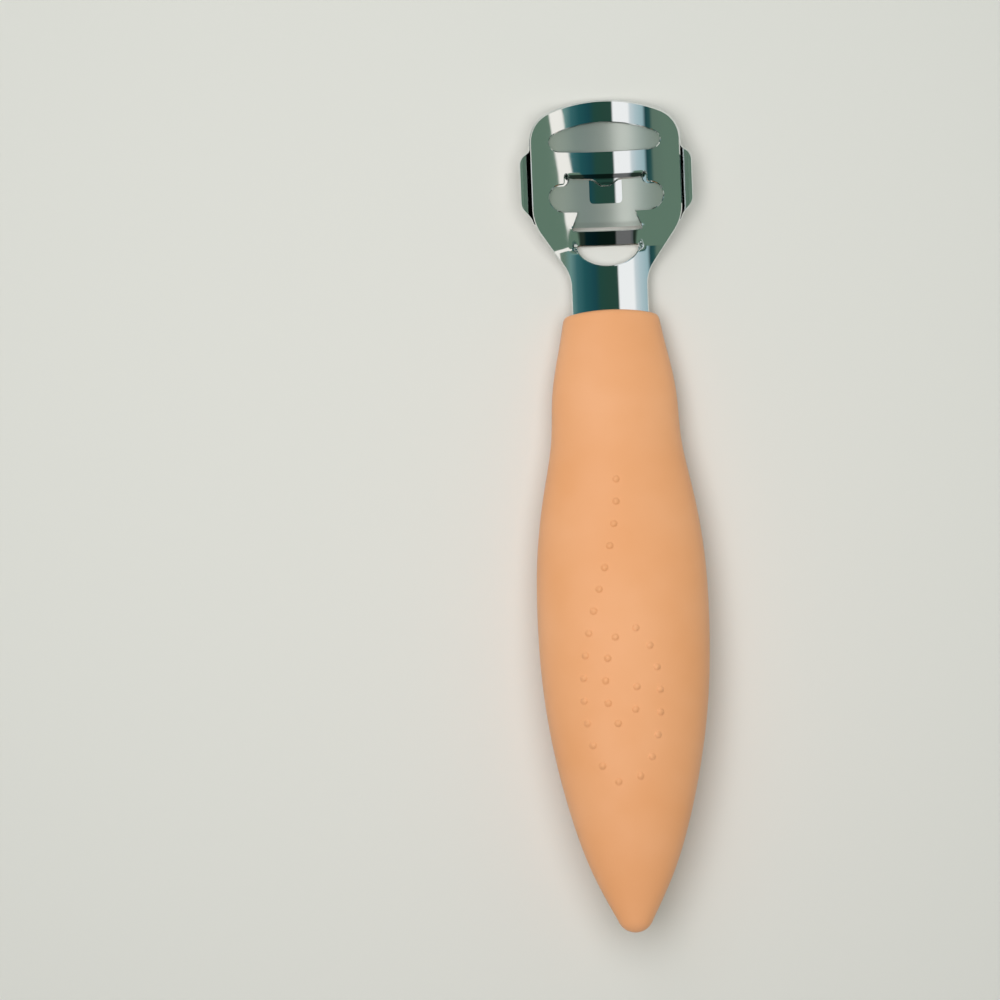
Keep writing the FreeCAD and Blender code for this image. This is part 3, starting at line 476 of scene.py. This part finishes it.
def frame_under(x, v):
    """Underside of the frame: its arch, with the bar and the dipping nose pressed down."""
    nose = ease(v, *NOSE_BEGINS_UNDER) * (1 - ease(v, *NOSE_ENDS_UNDER)) * (1 - ease(np.abs(x), *NOSE_SIDES))
    return arch(FRAME_UNDER, x) + neck_rise(v) - bar_drop(x, v) - NOSE_DIP * nose


def frame_over(x, v):
    """Upper side of the frame: its arch, with the bar, the turned lip and the nose sloping away."""
    lip = ease(v, *LIP_BEGINS) * (1 - ease(np.abs(x), *LIP_SIDES)) * (1 - ease(v, *FORMS_END))
    nose = ease(v, *NOSE_BEGINS_OVER) * (1 - ease(np.abs(x), *NOSE_SIDES)) * (1 - ease(v, *FORMS_END))
    return arch(FRAME_OVER, x) + neck_rise(v) - bar_drop(x, v) - LIP_TURN * lip - NOSE_DIP * nose


# Upper corners: their centres lie on a circle about the top arc's centre, at the difference of the radii
corner_far = TOP_ARC - CORNER_ARC
corner_aside = HEAD_HALF - CORNER_ARC
corner_up = math.sqrt(corner_far ** 2 - corner_aside ** 2)
corner_grow = TOP_ARC / corner_far
flank_x = HEAD_HALF - SHOULDER_ARC + SHOULDER_ARC * math.cos(FLANK_SLANT)
flank_v = SHOULDER + SHOULDER_ARC * math.sin(FLANK_SLANT)
waist_x = NECK_HALF + WAIST_ARC * (1 - math.cos(FLANK_SLANT))
waist_v = flank_v + (flank_x - waist_x) / math.tan(FLANK_SLANT)
frame_edge = both_sides([
    (corner_grow * corner_aside, TOP_ARC - corner_grow * corner_up, -CORNER_ARC),
    (HEAD_HALF, TOP_ARC - corner_up),
    (HEAD_HALF, SHOULDER, -SHOULDER_ARC),
    (flank_x, flank_v),
    (waist_x, waist_v, WAIST_ARC),
    (NECK_HALF, waist_v + WAIST_ARC * math.sin(FLANK_SLANT)),
    (NECK_HALF, NECK_END),
    (TANG_HALF, TANG_STEP),
    (TANG_HALF, TANG_END, -1.2 * TANG_HALF),
], -TOP_ARC)
end_x = (UPPER_HALF - UPPER_END) * 1.045
upper_window = both_sides([
    (end_x, UPPER_PEAK + UPPER_ARC - math.sqrt(UPPER_ARC ** 2 - end_x ** 2), -1.25 * UPPER_END),
    (UPPER_HALF, UPPER_BASE - UPPER_END, -UPPER_END),
    (UPPER_HALF - UPPER_END, UPPER_BASE),
], -UPPER_ARC)
# The main window starts with the nose and the lip, then a notch at the lip's end, the lobes and the dovetail
main_window = both_sides([
    (1.0, 17.7),
    (2.6, 16.35),
    (7.5, 16.3),
    (7.75, 15.2),
    (8.15, 14.9),
    (8.45, 15.3),
    (8.45, LOBE_TOP),
    (LOBE_HALF - LOBE_ARC, LOBE_TOP, -LOBE_ARC),
    (LOBE_HALF, LOBE_TOP + LOBE_ARC, -LOBE_ARC),
    (LOBE_HALF - LOBE_ARC, LOBE_BASE),
    (TAIL_TOP_HALF, LOBE_BASE),
    (TAIL_BASE_HALF, MOUTH),
])
throat_turn = np.linspace(0, math.pi, 24)[1:-1]
throat_window = loop([(-THROAT_HALF, THROAT_TOP), (THROAT_HALF, THROAT_TOP)]
                     + [(THROAT_HALF * math.cos(turn), THROAT_TOP + THROAT_HEIGHT * math.sin(turn))
                        for turn in throat_turn])
hole_turn = np.linspace(0, 2 * math.pi, 80, endpoint=False)
tang_hole = np.stack([TANG_HOLE_RADIUS * np.cos(hole_turn), TANG_HOLE + TANG_HOLE_RADIUS * np.sin(hole_turn)],
                     axis=1)


def per_mm(size):
    """Pattern scale for a feature of this many millimetres, in Object coordinates in metres: 1000 / size."""
    return 1000 / size


# Nickel and chromium over polished steel: a mirror, with a ripple left by the press and a faint veil
chrome, tree = finish_named("nickel_chromium_on_steel")
place = node(tree, "ShaderNodeTexCoord")
waves = node(tree, "ShaderNodeTexNoise", [("Vector", place, "Object")], Scale=per_mm(9.0), Detail=1.0)
ripple = node(tree, "ShaderNodeBump", [("Height", waves, "Fac")], Strength=0.05, Distance=0.0004)
smear = node(tree, "ShaderNodeTexNoise", [("Vector", place, "Object")], Scale=per_mm(2.4), Detail=4.0)
dull = node(tree, "ShaderNodeMapRange", [("Value", smear, "Fac")], From_Min=0.35, From_Max=0.75,
            To_Min=0.03, To_Max=0.06)
plating = node(tree, "ShaderNodeBsdfPrincipled", [("Roughness", dull, "Result"), ("Normal", ripple, "Normal")],
               Base_Color=linear("#E9ECEC"), Metallic=1.0)
node(tree, "ShaderNodeOutputMaterial", [("Surface", plating, "BSDF")])

head_frame = put("head_frame_sheet", pressed_sheet(
    "head_frame_sheet", frame_edge, [upper_window, main_window, throat_window, tang_hole],
    frame_under, frame_over, TUMBLED_EDGE), chrome)
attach(head_frame, "root")
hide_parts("head_frame")

# Guard plate.
# A second sheet of the same steel, pressed to a slightly larger arch, with an ear left standing at each side,
# welded under the frame on a raised strip at the top and plated with it.
GUARD_UNDER = 22.0
GUARD_OVER = 21.2
GUARD_OVERHANG = 0.35
GUARD_SIDE = 15.68
GUARD_TAPER = 0.45
GUARD_END = 25.8
EAR_REACH = 17.78
EAR_ARC = 2.6
STRIP_HEIGHT = 0.5
STRIP_SIDES = (7.2, 7.8)
STRIP_BEGINS = (0.6, 1.2)
STRIP_ENDS = (2.6, 3.2)


def guard_under(x, v):
    """Skin side of the guard plate: a plain arch that rests on the table."""
    return arch(GUARD_UNDER, x) + 0 * v


def guard_over(x, v):
    """Inner side of the guard plate: its arch, with the welded strip pressed up by 0.5 mm."""
    strip = (1 - ease(np.abs(x), *STRIP_SIDES)) * ease(v, *STRIP_BEGINS) * (1 - ease(v, *STRIP_ENDS))
    return arch(GUARD_OVER, x) + STRIP_HEIGHT * strip


guard_arc = TOP_ARC + GUARD_OVERHANG
guard_grow = guard_arc / corner_far
guard_edge = both_sides([
    (guard_grow * corner_aside, TOP_ARC - guard_grow * corner_up, -CORNER_ARC - GUARD_OVERHANG),
    (GUARD_SIDE, TOP_ARC - corner_up),
    (GUARD_SIDE, 10.4),
    (16.4, 11.0, -EAR_ARC),
    (EAR_REACH, 13.3),
    (EAR_REACH, 21.2, -EAR_ARC),
    (16.7, 23.2),
    (GUARD_SIDE, 24.4),
    (GUARD_SIDE - GUARD_TAPER, GUARD_END),
], -guard_arc)
guard_plate = put("guard_plate_sheet", pressed_sheet(
    "guard_plate_sheet", guard_edge, [], guard_under, guard_over, TUMBLED_EDGE), chrome)
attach(guard_plate, "root")
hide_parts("guard_plate")

# Blade.
# Thin strip of hardened stainless steel, satin from the rolling mill, punched with a hole and two slots.
# It is sprung into the arch between the two sheets; its lower edge is ground.
BLADE_UNDER = 21.1
BLADE_OVER = 20.8
BLADE_HALF = 13.6
BLADE_TOP = 3.3
BLADE_CORNER = 3.4
BLADE_END = 26.2
GROUND_RUN = 1.1
GROUND_DEPTH = 0.27
NOSE_HOLE = (-3.4, 3.4, 14.6, 21.3, 0.6)
RIGHT_SLOT = (7.5, 13.2, 13.7, 17.6, 1.3)
LEFT_SLOT = (-13.2, -7.5, 13.7, 17.6, 1.3)
HONED_EDGE = 0.012


def blade_under(x, v):
    """Underside of the blade: a plain arch."""
    return arch(BLADE_UNDER, x) + 0 * v


def blade_over(x, v):
    """Upper side of the blade: its arch, ground down in a straight slope over the last 1.1 mm."""
    return arch(BLADE_OVER, x) - GROUND_DEPTH * np.clip((v - BLADE_END + GROUND_RUN) / GROUND_RUN, 0, 1)


def rounded_box(left, right, top, base, corner):
    """A rectangle with round corners."""
    return loop([(left + corner, top), (right - corner, top, -corner), (right, top + corner),
                 (right, base - corner, -corner), (right - corner, base), (left + corner, base, -corner),
                 (left, base - corner), (left, top + corner, -corner)])


blade_edge = both_sides([
    (BLADE_HALF - BLADE_CORNER, BLADE_TOP, -BLADE_CORNER),
    (BLADE_HALF, BLADE_TOP + BLADE_CORNER),
    (BLADE_HALF, BLADE_END),
])
# Cold-rolled stainless strip, satin blasted: it blurs what it mirrors and keeps a hint of its rolling lines
satin_steel, tree = finish_named("satin_strip_steel")
place = node(tree, "ShaderNodeTexCoord")
stretch = node(tree, "ShaderNodeMapping", [("Vector", place, "Object")], Scale=(0.06, 1.0, 0.06))
lines = node(tree, "ShaderNodeTexNoise", [("Vector", stretch, "Vector")], Scale=per_mm(0.12), Detail=3.0)
grind = node(tree, "ShaderNodeBump", [("Height", lines, "Fac")], Strength=0.25, Distance=0.00002)
matt = node(tree, "ShaderNodeMapRange", [("Value", lines, "Fac")], To_Min=0.28, To_Max=0.36)
strip = node(tree, "ShaderNodeBsdfPrincipled", [("Roughness", matt, "Result"), ("Normal", grind, "Normal")],
             Base_Color=linear("#CCD0C8"), Metallic=0.72)
node(tree, "ShaderNodeOutputMaterial", [("Surface", strip, "BSDF")])

blade = put("blade_strip", pressed_sheet(
    "blade_strip", blade_edge, [rounded_box(*NOSE_HOLE), rounded_box(*RIGHT_SLOT), rounded_box(*LEFT_SLOT)],
    blade_under, blade_over, HONED_EDGE), satin_steel)
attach(blade, "root")
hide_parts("blade")

# Grip.
# Moulded round the tang in one shot: one colour through and through, with a soft matt skin that the eroded
# mould leaves finely grained and a swirl of raised dots on top.
GRIP_LENGTH = 127.4
GRIP_START = 13.5
FRONT_ROUNDING = 1.1
FRONT_INSET_ACROSS = 0.6
FRONT_INSET_UP = 0.7
FRONT_BOW = 0.7
BOW_HALF = 9
BOW_FADE = 12
TIP_RADIUS = 3.8
TIP_HALF_THICKNESS = 2.8
TIP_TAPER = 21
TANG_LEVEL = 3.2
SHEET_LEVEL = 1.3
SOCKET_PLAY = 0.04
NECK_ROOM = 5.95
TANG_ROOM = 38.5
SPOKES = 192
RING_STEP = 0.8
# Distance behind the front, width and thickness
GRIP_SECTIONS = np.array([
    (0, 19.6, 10.2), (8, 22.5, 11.8), (17, 25.6, 13.4), (26, 26.7, 14.9), (37, 30.6, 16.9), (50, 34.3, 19.3),
    (64, 35.2, 20.7), (78, 33.9, 20.2), (92, 29.9, 18.0), (105, 23.7, 14.3), (116, 16.0, 9.9),
    (124.96, 7.1, 5.23),
])


def through(places, values, wanted):
    """Natural cubic spline: second derivatives m from h0 m0 + 2 (h0 + h1) m1 + h1 m2 = 6 (s1 - s0)."""
    gap = np.diff(places)
    slope = np.diff(values) / gap
    count = len(places)
    matrix = np.eye(count)
    right_side = np.zeros(count)
    inner_rows = np.arange(1, count - 1)
    matrix[inner_rows, inner_rows - 1] = gap[:-1]
    matrix[inner_rows, inner_rows] = 2 * (gap[:-1] + gap[1:])
    matrix[inner_rows, inner_rows + 1] = gap[1:]
    right_side[inner_rows] = 6 * np.diff(slope)
    bend = np.linalg.solve(matrix, right_side)
    piece = np.clip(np.searchsorted(places, wanted) - 1, 0, count - 2)
    a, b = places[piece + 1] - wanted, wanted - places[piece]
    h = gap[piece]
    return ((bend[piece] * a ** 3 + bend[piece + 1] * b ** 3) / (6 * h)
            + (values[piece] / h - bend[piece] * h / 6) * a
            + (values[piece + 1] / h - bend[piece + 1] * h / 6) * b)


def half_sizes(s):
    """Half width and half thickness of the grip at a distance behind its front."""
    return tuple(through(GRIP_SECTIONS[:, 0], GRIP_SECTIONS[:, axis], s) / 2 for axis in (1, 2))


def on_axis(x, s, z):
    """Points of the grip, from its own axes to the object's: turned by the rise about the bend.
    The front is bowed: its sides stand back by 0.7 * (x / 9)^2, fading out over 12 mm."""
    reach = GRIP_START + s + FRONT_BOW * (x / BOW_HALF) ** 2 * (1 - ease(s, 0, BOW_FADE))
    level = TANG_LEVEL + z
    return np.stack(np.broadcast_arrays(
        x, TOP - BEND_PLACE - reach * math.cos(RISE) + level * math.sin(RISE),
        SHEET_LEVEL + reach * math.sin(RISE) + level * math.cos(RISE)), axis=-1)


def on_skin(x, s, height):
    """Points this far above the skin: half thickness * sqrt(1 - (x / half width)^2) + height."""
    skin_wide, skin_thick = half_sizes(s)
    return on_axis(x, s, skin_thick * np.sqrt(1 - (x / skin_wide) ** 2) + height)


def tube_faces(start, count, spokes):
    """Quads round a tube: count rings of so many spokes, one behind the other, from index start."""
    row, spoke = np.meshgrid(np.arange(count - 1), np.arange(spokes), indexing="ij")
    following = (spoke + 1) % spokes
    quads = np.stack([row * spokes + spoke, row * spokes + following,
                      (row + 1) * spokes + following, (row + 1) * spokes + spoke], axis=-1)
    return start + quads.reshape(-1, 4)


def room_section(half):
    """Room for the sheet, as (across, up from the grip's axis): two arcs 0.98 mm apart and upright sides."""
    across = np.linspace(-half, half, 60)
    under, over = (arch(radius, across) - SHEET_LEVEL - TANG_LEVEL
                   for radius in (FRAME_UNDER + SOCKET_PLAY, FRAME_OVER - SOCKET_PLAY))
    side = np.linspace(under[-1], over[-1], 8)[1:-1]
    upright = np.ones(len(side))
    return np.concatenate([
        np.stack([across, under], axis=1), np.stack([half * upright, side], axis=1),
        np.stack([across, over], axis=1)[::-1], np.stack([-half * upright, side[::-1]], axis=1)])


# Skin: ellipses from the rounded front to the rounded tail, closed there by a pole
quarter = np.linspace(0, math.pi / 2, 12)
front = FRONT_ROUNDING * (1 - np.cos(quarter))
front_inset = FRONT_ROUNDING * (1 - np.sin(quarter))
tip_turn = np.linspace(math.radians(TIP_TAPER), math.radians(89.5), 22)
tip = GRIP_LENGTH - TIP_RADIUS + TIP_RADIUS * np.sin(tip_turn)
body = np.arange(3.0, tip[0] - 0.3, RING_STEP)
round_about = np.linspace(0, 2 * math.pi, SPOKES, endpoint=False)
wide, thick = half_sizes(np.concatenate([front, body]))
inset = np.concatenate([front_inset, np.zeros(len(body))])
wide = np.concatenate([wide - FRONT_INSET_ACROSS * inset, TIP_RADIUS * np.cos(tip_turn)])
thick = np.concatenate([thick - FRONT_INSET_UP * inset, TIP_HALF_THICKNESS * np.cos(tip_turn)])
behind_front = np.concatenate([front, body, tip])
rows = on_axis(wide[:, None] * np.cos(round_about), behind_front[:, None],
               thick[:, None] * np.sin(round_about))
skin_points = rows.reshape(-1, 3)
skin_faces = tube_faces(0, len(rows), SPOKES)
end_middle = len(skin_points)
skin_points = np.vstack([skin_points, on_axis(0.0, GRIP_LENGTH, 0.0)[None]])
last = end_middle - SPOKES + np.arange(SPOKES)
tail_faces = np.stack([last, np.roll(last, -1), np.full(SPOKES, end_middle)], axis=1)

# The front face has the room for the neck in it; deeper in, the room narrows to the tang
neck_room, tang_room = room_section(NECK_HALF + SOCKET_PLAY), room_section(TANG_HALF + SOCKET_PLAY)
face_ring = np.stack([wide[0] * np.cos(round_about), thick[0] * np.sin(round_about)], axis=1)
cap = np.concatenate([face_ring, neck_room])
cap_start = len(skin_points)
room_start = cap_start + SPOKES
room_size = len(neck_room)
cap_faces = triangles_between(cap, [SPOKES, room_size])
cap_faces = cap_faces[~inside(cap[cap_faces].mean(axis=1), neck_room)][:, ::-1] + cap_start
cap_points = on_axis(cap[:, 0], np.zeros(len(cap)), cap[:, 1])
room_rows = np.concatenate([on_axis(section[:, 0], depth, section[:, 1]) for section, depth in (
    (neck_room, NECK_ROOM), (tang_room, NECK_ROOM), (tang_room, TANG_ROOM))])
room_faces = tube_faces(room_start, 4, room_size)[:, ::-1]
room_end = triangles_between(tang_room, [room_size])[:, ::-1] + room_start + 3 * room_size
dot_start = room_start + 4 * room_size

# Path of the dots: a row leads in while its angle rises from -180 to 0, then it winds in, 360 degrees a turn
DOT_PITCH = 4.55
LEAD_TURN = -180
LEAD_LENGTH = 43.2
LEAD_SWING = 8.3
SWIRL_TURN = 550
SWIRL_ASIDE = 1.0
SWIRL_MIDDLE = 78.5
SWIRL_HALF_WIDTH = 7.9
SWIRL_HALF_LENGTH = 18.6
SWIRL_CORE = 0.36
SWIRL_STEP_IN = 265
STEPS_A_DEGREE = 4


def swirl_point(turn):
    """Dot path from above, across and behind the front. The row swings in by half a cosine, then the half sizes
    shrink by 0.36 + 0.64 / (1 + (turn / 265)^7)."""
    if turn < 0:
        swing = LEAD_SWING * (1 - math.cos(math.pi * turn / LEAD_TURN)) / 2
        return swing - SWIRL_ASIDE - SWIRL_HALF_WIDTH, SWIRL_MIDDLE - turn / LEAD_TURN * LEAD_LENGTH
    shrink = SWIRL_CORE + (1 - SWIRL_CORE) / (1 + (turn / SWIRL_STEP_IN) ** 7)
    return (-SWIRL_ASIDE - SWIRL_HALF_WIDTH * shrink * math.cos(math.radians(turn)),
            SWIRL_MIDDLE + SWIRL_HALF_LENGTH * shrink * math.sin(math.radians(turn)))


places = [swirl_point(LEAD_TURN)]
for step in range(LEAD_TURN * STEPS_A_DEGREE, SWIRL_TURN * STEPS_A_DEGREE):
    across, behind = swirl_point(step / STEPS_A_DEGREE)
    if math.hypot(across - places[-1][0], behind - places[-1][1]) >= DOT_PITCH:
        places.append((across, behind))
places = np.array(places)

# Dots: radius and height of the dome that stands on the skin, from its crown out to a fillet at its foot
DOT_CROWN = 0.36
DOT_ROOT = -0.35
DOT_SPOKES = 28
DOT_PROFILE = np.array([
    (0.11, 0.354), (0.22, 0.336), (0.33, 0.305), (0.43, 0.259), (0.51, 0.206), (0.58, 0.151), (0.64, 0.096),
    (0.69, 0.052), (0.74, 0.021), (0.81, 0.003), (0.88, -0.03), (0.74, -0.30),
])
rings = len(DOT_PROFILE)
dot_turn = np.linspace(0, 2 * math.pi, DOT_SPOKES, endpoint=False)
dot_points = np.concatenate([
    on_skin(places[:, 0, None, None] + DOT_PROFILE[:, 0, None] * np.cos(dot_turn),
            places[:, 1, None, None] + DOT_PROFILE[:, 0, None] * np.sin(dot_turn),
            DOT_PROFILE[:, 1, None]).reshape(-1, 3),
    on_skin(places[:, 0], places[:, 1], DOT_CROWN), on_skin(places[:, 0], places[:, 1], DOT_ROOT)])
which, ring_of, spoke = np.meshgrid(np.arange(len(places)), np.arange(rings - 1), np.arange(DOT_SPOKES),
                                    indexing="ij")
corner = dot_start + (which * rings + ring_of) * DOT_SPOKES
following = (spoke + 1) % DOT_SPOKES
dot_faces = np.stack([corner + following, corner + DOT_SPOKES + following, corner + DOT_SPOKES + spoke,
                      corner + spoke], axis=-1).reshape(-1, 4)
crown = dot_start + len(places) * rings * DOT_SPOKES + which[:, 0]
first, last = corner[:, 0], corner[:, -1] + DOT_SPOKES
spoke, following = spoke[:, 0], following[:, 0]
crown_faces = np.stack([crown, first + following, first + spoke], axis=-1).reshape(-1, 3)
root_faces = np.stack([crown + len(places), last + spoke, last + following], axis=-1).reshape(-1, 3)

# Soft-touch plastic: a matt skin with the fine grain of the eroded mould and hardly any cloudiness
soft_plastic, tree = finish_named("apricot_soft_touch_plastic")
place = node(tree, "ShaderNodeTexCoord")
cloud = node(tree, "ShaderNodeTexNoise", [("Vector", place, "Object")], Scale=per_mm(14.0), Detail=2.0)
tint = node(tree, "ShaderNodeValToRGB", [("Fac", cloud, "Fac")])
for element, (position, colour) in zip(tint.color_ramp.elements, ((0.3, "#F2A974"), (0.7, "#F6B07E"))):
    element.position = position
    element.color = linear(colour)
grain = node(tree, "ShaderNodeTexNoise", [("Vector", place, "Object")], Scale=per_mm(0.16), Detail=2.0)
erode = node(tree, "ShaderNodeBump", [("Height", grain, "Fac")], Strength=0.35, Distance=0.00002)
skin = node(tree, "ShaderNodeBsdfPrincipled", [("Base Color", tint, "Color"), ("Normal", erode, "Normal")],
            Roughness=0.42)
node(tree, "ShaderNodeOutputMaterial", [("Surface", skin, "BSDF")])

grip_mesh = bpy.data.meshes.new("grip_moulding")
grip_mesh.from_pydata(
    (np.concatenate([skin_points, cap_points, room_rows, dot_points]) * MM).tolist(), [],
    [face for faces in (skin_faces, tail_faces, cap_faces, room_faces, room_end, dot_faces, crown_faces,
                        root_faces) for face in faces.tolist()])
grip = put("grip_moulding", grip_mesh, soft_plastic)
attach(grip, "root")
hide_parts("grip")
